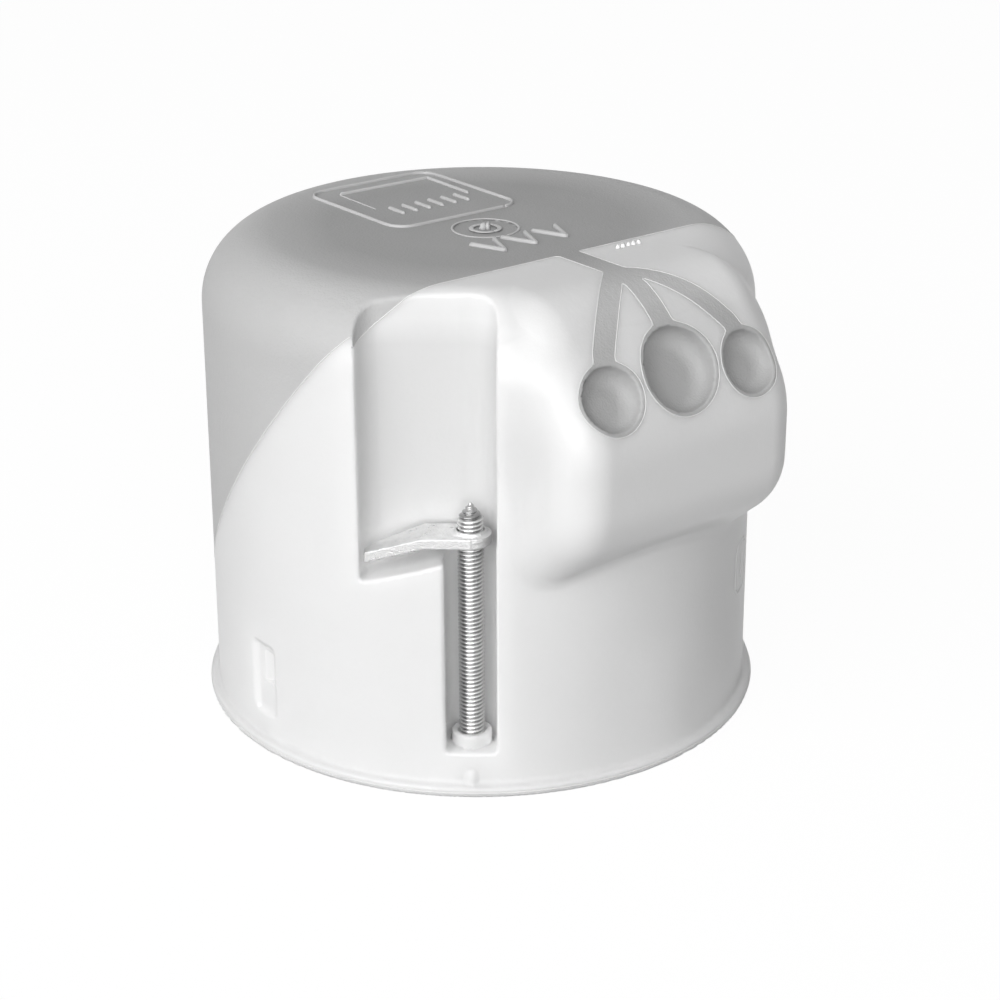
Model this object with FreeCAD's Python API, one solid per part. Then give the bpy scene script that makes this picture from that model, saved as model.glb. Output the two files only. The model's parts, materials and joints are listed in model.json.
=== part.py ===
import FreeCAD, Part

import math
import os

# A round two-part cavity wall box, all sizes in millimetres and angles in degrees.
# The frame: z = 0 is the front face of the flange, z runs into the wall cavity, and the bulge points along +X.
# Azimuths are measured from +X towards +Y.

# Round body
BODY_RADIUS = 33.75
BODY_DEPTH = 59.2
SHOULDER_RADIUS = 8.5
SHOULDER_STEPS = 4
INNER_SHOULDER_STEPS = 2
WALL = 1.6
FLANGE_OVERHANG = 1.1
FLANGE_RADIUS = BODY_RADIUS + FLANGE_OVERHANG
FLANGE_THICKNESS = 1.2

# Bulge for plugs and bending cables, with the three cable cups in its sloping top
BULGE_REACH = BODY_RADIUS + 5.35
BULGE_WIDTH = 34.0
BULGE_BROW_X = BODY_RADIUS - 3.85
BULGE_SLOPE = 55.0
BULGE_BROW_RADIUS = 9.0
BULGE_NOSE_RADIUS = 12.0
BULGE_CHIN_RADIUS = 8.5
BULGE_CHIN_Z = BODY_DEPTH - 22.0
BULGE_CHIN_ANGLE = 50.0
BULGE_SIDE_RADIUS = 4.5
BULGE_ROOT_X = BODY_RADIUS - 15.2

# Seam between the hard shell and the soft wall, seen from the side
SEAM_TOP_X = BODY_RADIUS - 16.9
SEAM_KNEE_Z = BODY_DEPTH - 3.8
SEAM_FOOT_X = 19.75 - BODY_RADIUS
SEAM_FOOT_Z = 17.0

# Cable cups and their runners
CUP_AXIS_ANGLE = 35.0
CUP_WALL = 1.3
CUP_LIP = 0.3
CUP_RIM_WIDTH = 0.5
DISH_FLOOR_SHARE = 0.5
MIDDLE_CUP_X = BULGE_REACH - 3.1
MIDDLE_CUP_RADIUS = 5.2
MIDDLE_DISH_DEPTH = 1.6
SIDE_CUP_X = BULGE_REACH - 2.35
SIDE_CUP_Y = 10.1
SIDE_CUP_RADIUS = 4.0
SIDE_DISH_DEPTH = 1.3
TRUNK_WIDTH = 2.8
BRANCH_WIDTH = 2.1
RUNNER_DEPTH = 0.8
RUNNER_FORK_X = BULGE_BROW_X - 4.7

# Claw screws, one each side
CLAW_AZIMUTH = -39.6
CLAW_AXIS_RADIUS = BODY_RADIUS - 3.45
CLAW_SCREW_RADIUS = 1.5
CLAW_SCREW_TIP_Z = 35.4
CLAW_SCREW_POINT = 2.6
CLAW_SCREW_POINT_RADIUS = 0.3
CLAW_HEAD_RADIUS = 2.7
CLAW_HEAD_HEIGHT = 2.2
HEAD_RECESS_DEPTH = 2.9
HEAD_CLEARANCE = 0.25
SCREW_RUNNING_CLEARANCE = 0.05

# Channel round each claw screw, and the pocket that holds the folded claw
CHANNEL_RADIUS = 2.95
CHANNEL_FLOOR_Z = 5.2
COLLAR_RADIUS = 2.55
COLLAR_HEIGHT = 0.9
POCKET_LEFT = 12.6
POCKET_CORNER_RADIUS = 2.4
LEDGE_HIGH_Z = 29.0
LEDGE_LOW_Z = 25.8

# Claws
CLAW_THICKNESS = 1.25
CLAW_TOP_Z = 31.8
CLAW_HUB_RADIUS = 2.4
CLAW_BEND_AT = 5.3
CLAW_LENGTH = 12.1
CLAW_TIP_DROP = 2.5
CLAW_TIP_OUTER = 0.6
CLAW_TIP_INNER = -1.5
CLAW_TIP_ROUND = 0.6

# Domes for the four device screws, on the 60 mm circle
DEVICE_SCREW_INSET = 3.75
DEVICE_PITCH = 2 * (BODY_RADIUS - DEVICE_SCREW_INSET)
DEVICE_HOLE_RADIUS = 1.35
DEVICE_HOLE_DEPTH = 14.0
DOME_RADIUS = 3.9
DOME_HEIGHT = 16.0
DEVICE_SHANK_RADIUS = 1.3
DEVICE_SCREW_END_Z = 13.5
DEVICE_HEAD_RADIUS = 2.8
DEVICE_HEAD_HEIGHT = 1.9

# Windows in the wall over the device screws, and the small sunk mark
WINDOW_WIDTH = 4.1
WINDOW_LOW_Z = 4.7
WINDOW_HIGH_Z = 13.5
WINDOW_DEPTH_RADIUS = BODY_RADIUS - 1.55
WINDOW_SHIFT = 1.0
SLOT_WIDTH = 1.2
SLOT_LOW_Z = 7.5
SLOT_HIGH_Z = 11.5
MARK_AZIMUTH = 35.0
MARK_WIDTH = 6.0
MARK_LOW_Z = 14.6
MARK_HIGH_Z = 21.6
MARK_DEPTH = 0.4

# Cross recess in the screw heads
CROSS_LENGTH = 3.0
CROSS_WIDTH = 0.7
CROSS_DEPTH = 1.1

Vector = FreeCAD.Vector
ORIGIN = Vector(0, 0, 0)
UP = Vector(0, 0, 1)
OVERSHOOT = 1.0
CLOSE = 0.001


def turned(shape, azimuth):
    """A copy of a shape, turned about the box's axis."""
    copy = shape.copy()
    copy.rotate(ORIGIN, UP, azimuth)
    return copy


def face_from(start, *steps):
    """Flat face with a closed edge: a step is a straight run's end, or an arc's middle and end."""
    edges = []
    here = start
    for step in steps:
        if isinstance(step, tuple):
            middle, end = step
            edges.append(Part.Arc(here, middle, end).toShape())
        else:
            end = step
            edges.append(Part.makeLine(here, end))
        here = end
    edges.append(Part.makeLine(here, start))
    return Part.Face(Part.Wire(edges))


def block(low, high):
    """A box between two opposite corners."""
    size = high - low
    return Part.makeBox(size.x, size.y, size.z, low)


def arc_steps(centre_x, centre_z, radius, steps):
    """Points that follow a quarter arc from level to upright in straight steps, the start left out."""
    turns = [math.pi / 2 * step / steps for step in range(1, steps + 1)]
    return [Vector(centre_x + radius * math.cos(turn), 0, centre_z + radius * math.sin(turn)) for turn in turns]


def body_form(inset, low_z):
    """Solid form of the round body, a given distance inside its outer skin, with its shoulder in straight steps."""
    bend_z = BODY_DEPTH - SHOULDER_RADIUS
    bend_x = BODY_RADIUS - SHOULDER_RADIUS
    radius = SHOULDER_RADIUS - inset
    profile = face_from(
        Vector(0, 0, low_z),
        Vector(BODY_RADIUS - inset, 0, low_z),
        Vector(bend_x + radius, 0, bend_z),
        *arc_steps(bend_x, bend_z, radius, INNER_SHOULDER_STEPS if inset else SHOULDER_STEPS),
        Vector(0, 0, BODY_DEPTH - inset),
    )
    return profile.revolve(ORIGIN, UP, 360)


def arc_point(centre, radius, angle):
    """Point on an arc in the XZ plane, at an angle above the X axis."""
    turn = math.radians(angle)
    return centre + Vector(radius * math.cos(turn), 0, radius * math.sin(turn))


def brow_centre():
    """Middle of the arc between the flat top and the bulge's slope."""
    reach = BULGE_BROW_RADIUS * math.tan(math.radians(BULGE_SLOPE / 2))
    return Vector(BULGE_BROW_X - reach, 0, BODY_DEPTH - BULGE_BROW_RADIUS)


def nose_centre():
    """Middle of the arc between the bulge's slope and its upright end."""
    drop = (BULGE_REACH - BULGE_BROW_X) * math.tan(math.radians(BULGE_SLOPE))
    reach = BULGE_NOSE_RADIUS * math.tan(math.radians(45 - BULGE_SLOPE / 2))
    return Vector(BULGE_REACH - BULGE_NOSE_RADIUS, 0, BODY_DEPTH - drop - reach)


def bulge_form(inset):
    """Solid form of the bulge: its side profile drawn along Y, with rounded flanks, or bevelled ones inside."""
    half_width = BULGE_WIDTH / 2 - inset
    side = Vector(0, -half_width, 0)
    brow = brow_centre() + side
    nose = nose_centre() + side
    chin = Vector(BULGE_REACH - BULGE_CHIN_RADIUS, 0, BULGE_CHIN_Z) + side
    brow_radius = BULGE_BROW_RADIUS - inset
    nose_radius = BULGE_NOSE_RADIUS - inset
    chin_radius = BULGE_CHIN_RADIUS - inset
    slope_angle = 90 - BULGE_SLOPE
    chin_end = arc_point(chin, chin_radius, -BULGE_CHIN_ANGLE)
    fall = math.tan(math.radians(90 - BULGE_CHIN_ANGLE))
    root = Vector(BULGE_ROOT_X, -half_width, chin_end.z - (chin_end.x - BULGE_ROOT_X) * fall)
    profile = face_from(
        Vector(BULGE_ROOT_X, -half_width, BODY_DEPTH - inset),
        arc_point(brow, brow_radius, 90),
        (arc_point(brow, brow_radius, 90 - BULGE_SLOPE / 2), arc_point(brow, brow_radius, slope_angle)),
        arc_point(nose, nose_radius, slope_angle),
        (arc_point(nose, nose_radius, slope_angle / 2), arc_point(nose, nose_radius, 0)),
        arc_point(chin, chin_radius, 0),
        (arc_point(chin, chin_radius, -BULGE_CHIN_ANGLE / 2), chin_end),
        root,
    )
    solid = profile.extrude(Vector(0, 2 * half_width, 0))
    flank_edges = [edge for edge in solid.Edges if is_flank_edge(edge, half_width)]
    if inset:
        return solid.makeChamfer((BULGE_SIDE_RADIUS - inset) * (2 - math.sqrt(2)), flank_edges)
    return solid.makeFillet(BULGE_SIDE_RADIUS, flank_edges)


def is_flank_edge(edge, half_width):
    """True for the outer edges of the bulge's two flanks."""
    box = edge.BoundBox
    on_flank = box.YLength < CLOSE and abs(abs(box.YMin) - half_width) < CLOSE
    return on_flank and box.XMax > BULGE_ROOT_X + CLOSE


def box_form(inset, low_z):
    """Outer form of the whole box, a given distance inside its skin."""
    return body_form(inset, low_z).fuse(bulge_form(inset)).removeSplitter()


def claw_frame(shape):
    """Puts a shape drawn round (0, 0) on the first claw axis: x outwards, y along the wall."""
    copy = shape.copy()
    copy.translate(Vector(CLAW_AXIS_RADIUS, 0, 0))
    copy.rotate(ORIGIN, UP, CLAW_AZIMUTH)
    return copy


def channel_form(grow, low_z):
    """Slot round a claw screw, open outwards, grown by a wall thickness."""
    radius = CHANNEL_RADIUS + grow
    outward = FLANGE_RADIUS
    height = BODY_DEPTH + OVERSHOOT - low_z
    plan = face_from(
        Vector(0, radius, low_z),
        (Vector(-radius, 0, low_z), Vector(0, -radius, low_z)),
        Vector(outward, -radius, low_z),
        Vector(outward, radius, low_z),
    )
    return plan.extrude(Vector(0, 0, height))


def pocket_form(grow):
    """Pocket that holds a folded claw, above its sloping ledge, grown by a wall thickness."""
    corner = POCKET_CORNER_RADIUS + grow
    near = -CHANNEL_RADIUS - grow
    left = -POCKET_LEFT - grow
    half = corner * (1 - math.sqrt(0.5))
    plan = face_from(
        Vector(FLANGE_RADIUS, 0, 0),
        Vector(near, 0, 0),
        Vector(near, left + corner, 0),
        (Vector(near + half, left + half, 0), Vector(near + corner, left, 0)),
        Vector(FLANGE_RADIUS, left, 0),
    )
    prism = plan.extrude(Vector(0, 0, BODY_DEPTH + OVERSHOOT))
    slope = (LEDGE_HIGH_Z - LEDGE_LOW_Z) / (POCKET_LEFT - CHANNEL_RADIUS)
    side = Vector(near - OVERSHOOT, 0, 0)
    below = face_from(
        side + Vector(0, OVERSHOOT, 0),
        side + Vector(0, OVERSHOOT, ledge_z(-OVERSHOOT, slope) - grow),
        side + Vector(0, left - OVERSHOOT, ledge_z(-left + OVERSHOOT, slope) - grow),
        side + Vector(0, left - OVERSHOOT, 0),
    ).extrude(Vector(2 * FLANGE_RADIUS, 0, 0))
    return prism.cut(below)


def ledge_z(distance, slope):
    """Height of the pocket's sloping ledge at a distance from the claw screw, along the wall."""
    return LEDGE_HIGH_Z - (distance - CHANNEL_RADIUS) * slope


def claw_recess(grow, low_z):
    """Channel and pocket of the first claw, in place."""
    form = channel_form(grow, low_z).fuse(pocket_form(grow))
    return claw_frame(form)


def both_sides(shape):
    """A shape and its copy on the opposite side of the box."""
    return [shape, turned(shape, 180)]


def device_azimuths():
    """Directions of the four device screw domes."""
    return [0, 90, 180, 270]


def dome_form():
    """One device screw dome, at azimuth 0: a round post whose top leans into the wall."""
    post = Part.makeCylinder(DOME_RADIUS, DOME_HEIGHT, Vector(DEVICE_PITCH / 2, 0, 0))
    web = block(
        Vector(DEVICE_PITCH / 2, -DOME_RADIUS, 0),
        Vector(BODY_RADIUS, DOME_RADIUS, DOME_HEIGHT),
    )
    return post.fuse(web)


def dome_hole():
    """Screw hole of one dome, at azimuth 0."""
    centre = Vector(DEVICE_PITCH / 2, 0, 0)
    return Part.makeCylinder(DEVICE_HOLE_RADIUS, DEVICE_HOLE_DEPTH, centre)


def dome_recess():
    """Head recess of one dome that holds a screw, at azimuth 0."""
    centre = Vector(DEVICE_PITCH / 2, 0, 0)
    return Part.makeCylinder(DEVICE_HEAD_RADIUS + HEAD_CLEARANCE, HEAD_RECESS_DEPTH, centre)


def window_form():
    """Window in the wall over the device screw on the -Y side, with a narrow slot to the screw."""
    recess = block(
        Vector(WINDOW_DEPTH_RADIUS, WINDOW_SHIFT - WINDOW_WIDTH / 2, WINDOW_LOW_Z),
        Vector(FLANGE_RADIUS + OVERSHOOT, WINDOW_SHIFT + WINDOW_WIDTH / 2, WINDOW_HIGH_Z),
    )
    slot = block(
        Vector(DEVICE_PITCH / 2, WINDOW_SHIFT - SLOT_WIDTH / 2, SLOT_LOW_Z),
        Vector(FLANGE_RADIUS + OVERSHOOT, WINDOW_SHIFT + SLOT_WIDTH / 2, SLOT_HIGH_Z),
    )
    return turned(recess.fuse(slot), -90)


def mark_form():
    """Small sunk rectangle on the wall under the bulge's far side."""
    recess = block(
        Vector(BODY_RADIUS - MARK_DEPTH, -MARK_WIDTH / 2, MARK_LOW_Z),
        Vector(FLANGE_RADIUS + OVERSHOOT, MARK_WIDTH / 2, MARK_HIGH_Z),
    )
    return turned(recess, MARK_AZIMUTH)


def claw_collar():
    """Low collar round one claw screw, on the channel's floor."""
    height = CHANNEL_FLOOR_Z + COLLAR_HEIGHT
    return claw_frame(Part.makeCylinder(COLLAR_RADIUS, height))


def claw_holes():
    """Bore and head recess for one claw screw."""
    bore = Part.makeCylinder(CLAW_SCREW_RADIUS + SCREW_RUNNING_CLEARANCE, CHANNEL_FLOOR_Z + COLLAR_HEIGHT)
    recess = Part.makeCylinder(CLAW_HEAD_RADIUS + HEAD_CLEARANCE, HEAD_RECESS_DEPTH)
    return claw_frame(bore.fuse(recess))


def cavity_form(inset, low_z):
    """Form of the box's space, a given distance inside its skin, clear of channels and pockets."""
    form = box_form(inset, low_z)
    for recess in both_sides(claw_recess(inset, low_z)):
        form = form.cut(recess)
    return form


def skin_form():
    """The whole box as one solid block with its flange, channels and pockets."""
    flange = Part.makeCylinder(FLANGE_RADIUS, FLANGE_THICKNESS)
    form = box_form(0, 0).fuse(flange).removeSplitter()
    for recess in both_sides(claw_recess(0, CHANNEL_FLOOR_Z)):
        form = form.cut(recess)
    return form


def seam_region():
    """Everything on the soft wall's side of the seam: a side view drawn along Y."""
    far = FLANGE_RADIUS + OVERSHOOT
    top = BODY_DEPTH + OVERSHOOT
    side = Vector(0, -far, 0)
    face = face_from(
        side + Vector(SEAM_TOP_X, 0, top),
        side + Vector(SEAM_TOP_X, 0, SEAM_KNEE_Z),
        side + Vector(SEAM_FOOT_X, 0, SEAM_FOOT_Z),
        side + Vector(-far, 0, SEAM_FOOT_Z),
        side + Vector(-far, 0, top),
    )
    return face.extrude(Vector(0, 2 * far, 0))


def slope_height(x):
    """Height of the bulge's slope at a distance from the box's axis."""
    return BODY_DEPTH - (x - BULGE_BROW_X) * math.tan(math.radians(BULGE_SLOPE))


def cup_sizes():
    """Rim centre, rim radius and dish depth of the three cups."""
    middle = Vector(MIDDLE_CUP_X, 0, slope_height(MIDDLE_CUP_X))
    left = Vector(SIDE_CUP_X, -SIDE_CUP_Y, slope_height(SIDE_CUP_X))
    right = Vector(SIDE_CUP_X, SIDE_CUP_Y, slope_height(SIDE_CUP_X))
    return [
        (left, SIDE_CUP_RADIUS, SIDE_DISH_DEPTH),
        (middle, MIDDLE_CUP_RADIUS, MIDDLE_DISH_DEPTH),
        (right, SIDE_CUP_RADIUS, SIDE_DISH_DEPTH),
    ]


def on_slope(shape, centre):
    """Puts a shape drawn round the Z axis on the bulge's slope, facing outwards."""
    shape.rotate(ORIGIN, Vector(0, 1, 0), 90 - CUP_AXIS_ANGLE)
    shape.translate(centre)
    return shape


def cup_bore(centre, radius, depth):
    """Round space through the bulge's skin where a cup sits, up to the cup's rim."""
    below = depth + CUP_WALL
    return on_slope(Part.makeCylinder(radius, below + CUP_LIP, Vector(0, 0, -below)), centre)


def cup_solid(centre, radius, depth):
    """One cable cup: a round plug in the bulge's skin with a flat rim and a dished face."""
    dish_edge = radius - CUP_RIM_WIDTH
    profile = face_from(
        Vector(0, 0, -depth),
        Vector(dish_edge * DISH_FLOOR_SHARE, 0, -depth),
        Vector(dish_edge, 0, CUP_LIP),
        Vector(radius, 0, CUP_LIP),
        Vector(radius, 0, -depth - CUP_WALL),
        Vector(0, 0, -depth - CUP_WALL),
    )
    return on_slope(profile.revolve(ORIGIN, UP, 360), centre)


def strip(start, end, width):
    """A straight upright strip between two points, seen from above."""
    along = end - start
    length = math.hypot(along.x, along.y)
    bar = block(Vector(0, -width / 2, BULGE_CHIN_Z), Vector(length, width / 2, BODY_DEPTH))
    bar.rotate(ORIGIN, UP, math.degrees(math.atan2(along.y, along.x)))
    bar.translate(start)
    return bar


def runner_prism():
    """The trunk and its branches as one tall prism, cut to the skin later."""
    fork = Vector(RUNNER_FORK_X, 0, 0)
    root = Vector(SEAM_TOP_X - TRUNK_WIDTH, 0, 0)
    bars = [strip(root, fork + Vector(TRUNK_WIDTH / 2, 0, 0), TRUNK_WIDTH)]
    for centre, radius, depth in cup_sizes():
        width = TRUNK_WIDTH if centre.y == 0 else BRANCH_WIDTH
        bars.append(strip(fork, Vector(centre.x, centre.y, 0), width))
    return bars[0].multiFuse(bars[1:])


def soft_wall(skin, cavity):
    """The soft wall with its runners and cups, moulded in one."""
    wall = skin.cut(cavity).common(seam_region())
    bores = [cup_bore(*cup) for cup in cup_sizes()]
    runners = runner_prism().common(box_form(0, 0)).cut([box_form(RUNNER_DEPTH, -OVERSHOOT)] + bores)
    cups = [cup_solid(*cup) for cup in cup_sizes()]
    return wall.fuse([runners] + cups).removeSplitter()


def housing(skin, cavity, soft):
    """The hard shell: flange, wall, bulge, claw channels and screw domes in one moulding."""
    domes = [turned(dome_form(), azimuth).common(body_form(0, 0)) for azimuth in device_azimuths()]
    shell = skin.cut(cavity).fuse(both_sides(claw_collar()) + domes)
    holes = [turned(dome_hole(), azimuth) for azimuth in device_azimuths()]
    holes += both_sides(turned(dome_recess(), -90)) + both_sides(claw_holes()) + both_sides(window_form())
    bores = [cup_bore(*cup) for cup in cup_sizes()]
    return shell.cut(holes + bores + [mark_form()]).cut(soft).removeSplitter()


def cross_recess(front_z):
    """Cross-shaped driver recess in a screw head."""
    arm = block(
        Vector(-CROSS_LENGTH / 2, -CROSS_WIDTH / 2, front_z),
        Vector(CROSS_LENGTH / 2, CROSS_WIDTH / 2, front_z + CROSS_DEPTH),
    )
    return arm.fuse(turned(arm, 90))


def screw(head_radius, head_height, shank_radius, end_z):
    """A blunt screw seated at the bottom of its head recess, pointing away from the flange."""
    seat = HEAD_RECESS_DEPTH - SCREW_RUNNING_CLEARANCE
    front = seat - head_height
    profile = face_from(
        Vector(0, 0, front),
        Vector(head_radius, 0, front),
        Vector(head_radius, 0, seat),
        Vector(shank_radius, 0, seat),
        Vector(shank_radius, 0, end_z),
        Vector(0, 0, end_z),
    )
    return profile.revolve(ORIGIN, UP, 360).cut(cross_recess(front))


def claw_screw():
    """The long pointed screw that draws one claw towards the flange."""
    point_z = CLAW_SCREW_TIP_Z - CLAW_SCREW_POINT
    start = Vector(0, 0, point_z)
    point = Part.makeCone(CLAW_SCREW_RADIUS, CLAW_SCREW_POINT_RADIUS, CLAW_SCREW_POINT, start)
    return claw_frame(screw(CLAW_HEAD_RADIUS, CLAW_HEAD_HEIGHT, CLAW_SCREW_RADIUS, point_z).fuse(point))


def device_screw(azimuth):
    """One screw that holds a device's frame, waiting in its dome."""
    shape = screw(DEVICE_HEAD_RADIUS, DEVICE_HEAD_HEIGHT, DEVICE_SHANK_RADIUS, DEVICE_SCREW_END_Z)
    shape.translate(Vector(DEVICE_PITCH / 2, 0, 0))
    return turned(shape, azimuth)


def claw_plan():
    """Outline of a claw seen along its screw, as a tall prism: hub, arm and tapered tip."""
    hub = Part.makeCylinder(CLAW_HUB_RADIUS, BODY_DEPTH)
    bend = -CLAW_BEND_AT
    end = -CLAW_LENGTH
    arm = face_from(
        Vector(CLAW_HUB_RADIUS, 0, 0),
        Vector(CLAW_HUB_RADIUS, bend, 0),
        Vector(CLAW_TIP_OUTER, end + CLAW_TIP_ROUND, 0),
        Vector(CLAW_TIP_OUTER - CLAW_TIP_ROUND, end, 0),
        Vector(CLAW_TIP_INNER + CLAW_TIP_ROUND, end, 0),
        Vector(CLAW_TIP_INNER, end + CLAW_TIP_ROUND, 0),
        Vector(-CLAW_HUB_RADIUS, bend, 0),
        Vector(-CLAW_HUB_RADIUS, 0, 0),
    ).extrude(Vector(0, 0, BODY_DEPTH))
    return hub.fuse(arm)


def claw():
    """A stamped claw: a flat hub, and an arm that bends towards the flange."""
    low = CLAW_TOP_Z - CLAW_THICKNESS
    side = Vector(-CLAW_HUB_RADIUS - OVERSHOOT, 0, 0)
    sheet = face_from(
        side + Vector(0, CLAW_HUB_RADIUS + OVERSHOOT, low),
        side + Vector(0, CLAW_HUB_RADIUS + OVERSHOOT, CLAW_TOP_Z),
        side + Vector(0, -CLAW_BEND_AT, CLAW_TOP_Z),
        side + Vector(0, -CLAW_LENGTH, CLAW_TOP_Z - CLAW_TIP_DROP),
        side + Vector(0, -CLAW_LENGTH, low - CLAW_TIP_DROP),
        side + Vector(0, -CLAW_BEND_AT, low),
    ).extrude(Vector(2 * (CLAW_HUB_RADIUS + OVERSHOOT), 0, 0))
    bore = Part.makeCylinder(CLAW_SCREW_RADIUS + SCREW_RUNNING_CLEARANCE, BODY_DEPTH)
    return claw_frame(sheet.common(claw_plan()).cut(bore).removeSplitter())


def build():
    """All pieces of the box, by name."""
    skin = skin_form()
    cavity = cavity_form(WALL, -OVERSHOOT)
    soft = soft_wall(skin, cavity)
    claws = both_sides(claw())
    claw_screws = both_sides(claw_screw())
    return {
        "housing": housing(skin, cavity, soft),
        "soft_wall": soft,
        "claw_a": claws[0],
        "claw_b": claws[1],
        "claw_screw_a": claw_screws[0],
        "claw_screw_b": claw_screws[1],
        "device_screw_a": device_screw(-90),
        "device_screw_b": device_screw(90),
    }


os.makedirs("parts", exist_ok=True)
for name, shape in build().items():
    shape.exportStep("parts/" + name + ".step")
    print(name, shape.isValid(), round(shape.Volume, 1), len(shape.Solids), len(shape.Faces))
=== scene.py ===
# %% [markdown]
# A round two-part box for cavity walls: a hard white shell and a soft grey wall moulded onto it.
# It stands on its flange with the open front down, lit by soft studio light on a pale floor.
# All numbers are in millimetres until a mesh is made; Blender itself works in metres here.

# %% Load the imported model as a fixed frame
import bpy
import bmesh
import json
import math
import numpy as np
from mathutils import Matrix, Vector

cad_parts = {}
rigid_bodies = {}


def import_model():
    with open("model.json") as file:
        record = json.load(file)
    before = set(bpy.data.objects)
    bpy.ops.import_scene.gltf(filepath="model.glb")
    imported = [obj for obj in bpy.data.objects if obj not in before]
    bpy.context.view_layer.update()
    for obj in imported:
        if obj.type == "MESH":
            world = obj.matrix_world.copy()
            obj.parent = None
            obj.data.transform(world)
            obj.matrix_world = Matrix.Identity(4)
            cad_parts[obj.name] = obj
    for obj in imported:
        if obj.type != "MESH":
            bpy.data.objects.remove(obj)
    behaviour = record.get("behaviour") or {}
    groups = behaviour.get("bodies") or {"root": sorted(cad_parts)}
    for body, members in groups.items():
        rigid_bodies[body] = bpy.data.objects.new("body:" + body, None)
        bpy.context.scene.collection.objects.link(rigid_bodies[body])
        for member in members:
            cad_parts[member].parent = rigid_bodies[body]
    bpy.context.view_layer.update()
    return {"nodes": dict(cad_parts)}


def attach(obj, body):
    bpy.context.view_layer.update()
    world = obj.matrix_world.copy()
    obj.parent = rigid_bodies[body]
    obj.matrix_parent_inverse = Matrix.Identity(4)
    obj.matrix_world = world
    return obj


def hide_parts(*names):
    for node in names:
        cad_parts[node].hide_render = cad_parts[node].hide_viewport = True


for spare in list(bpy.data.objects):
    bpy.data.objects.remove(spare)
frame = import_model()
nodes = frame["nodes"]
MM = 0.001
print("pieces in the frame:", sorted(nodes))

# %% [markdown]
# The camera comes first, so that every later step can be compared with the photograph.
# Its place was found by matching the rims and the top of the box: it looks 22.8 degrees down.
# A direction and two small turns describe it, and the lens is 82 mm on a 36 mm sensor.

# %% Place the camera
CAMERA_SPOT = Vector((0.21141, -0.16222, 0.13517))
CAMERA_TURN = math.radians(52.5)
CAMERA_DROP = 0.39879
CAMERA_YAW = 0.009392
CAMERA_ROLL = 0.002965
LENS = 82.327


def camera_axes(turn, drop, yaw, roll):
    """The camera's right, up and backward directions in the box's frame."""
    forward = Vector((math.sin(yaw) * math.cos(drop), math.cos(yaw) * math.cos(drop), -math.sin(drop)))
    right = Vector((math.cos(yaw), -math.sin(yaw), 0))
    down = forward.cross(right)
    tilted = right * math.cos(roll) + down * math.sin(roll)
    up = right * math.sin(roll) - down * math.cos(roll)
    spin = Matrix.Rotation(turn, 3, "Z")
    return spin @ tilted, spin @ up, spin @ -forward


camera_data = bpy.data.cameras.new("photo_camera")
camera = bpy.data.objects.new("photo_camera", camera_data)
bpy.context.scene.collection.objects.link(camera)
camera_data.lens = LENS
camera_data.sensor_width = 36
camera_data.clip_start = 0.01
side, upward, backward = camera_axes(CAMERA_TURN, CAMERA_DROP, CAMERA_YAW, CAMERA_ROLL)
camera.matrix_world = Matrix.Translation(CAMERA_SPOT) @ Matrix((side, upward, backward)).transposed().to_4x4()
bpy.context.scene.camera = camera
print("camera at", [round(v, 4) for v in camera.location])

# %% [markdown]
# The shell's faces run into each other in soft hollows, which booleans and bevels make badly.
# So its form is written as a distance field: a number for each point of space, below zero inside the plastic.
# Joining two fields with a rounded corner gives the hollow where the bulge grows out of the round wall,
# and cutting one from the other with a rounded edge gives the moulded look of the claw's pocket.

# %% Helpers that join distance fields with round corners
def round_union(first, second, radius):
    """Both forms together, with a hollow of a given radius where they meet."""
    gap = np.hypot(np.maximum(radius - first, 0), np.maximum(radius - second, 0))
    return np.maximum(radius, np.minimum(first, second)) - gap


def round_common(first, second, radius):
    """What two forms share, with its edge rounded."""
    gap = np.hypot(np.maximum(radius + first, 0), np.maximum(radius + second, 0))
    return np.minimum(-radius, np.maximum(first, second)) + gap


def about_axis(x, y, azimuth):
    """Coordinates in a frame whose first axis points at an azimuth, in degrees."""
    turn = math.radians(azimuth)
    return x * math.cos(turn) + y * math.sin(turn), y * math.cos(turn) - x * math.sin(turn)


def block_field(across, along, up, low, high, radius):
    """A block between two corners, with rounded edges."""
    fields = []
    for value, least, most in zip((across, along, up), low, high):
        fields.append(np.abs(value - (least + most) / 2) - (most - least) / 2)
    return round_common(round_common(fields[0], fields[1], radius), fields[2], radius)


def polygon_gap(u, v, corners):
    """Distance to a closed outline in a plane, below zero inside."""
    nearest = np.full(np.shape(u), 1e3)
    inside = np.zeros(np.shape(u), bool)
    for (u0, v0), (u1, v1) in zip(corners, corners[1:] + corners[:1]):
        run, rise = u1 - u0, v1 - v0
        share = np.clip(((u - u0) * run + (v - v0) * rise) / (run * run + rise * rise), 0, 1)
        nearest = np.minimum(nearest, np.hypot(u - u0 - share * run, v - v0 - share * rise))
        if rise:
            inside ^= ((v0 > v) != (v1 > v)) & (u < (v - v0) * run / rise + u0)
    return np.where(inside, -nearest, nearest)


def strip_gap(u, v, start, end, half_width):
    """Distance to a straight strip with round ends in a plane."""
    run, rise = end[0] - start[0], end[1] - start[1]
    share = np.clip(((u - start[0]) * run + (v - start[1]) * rise) / (run * run + rise * rise), 0, 1)
    return np.hypot(u - start[0] - share * run, v - start[1] - share * rise) - half_width


# %% [markdown]
# The round body is a disc profile with a slight draft and a rounded shoulder.
# The bulge is one side profile, made of straight runs and three arcs, as wide as 34 mm with soft flanks.

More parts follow.
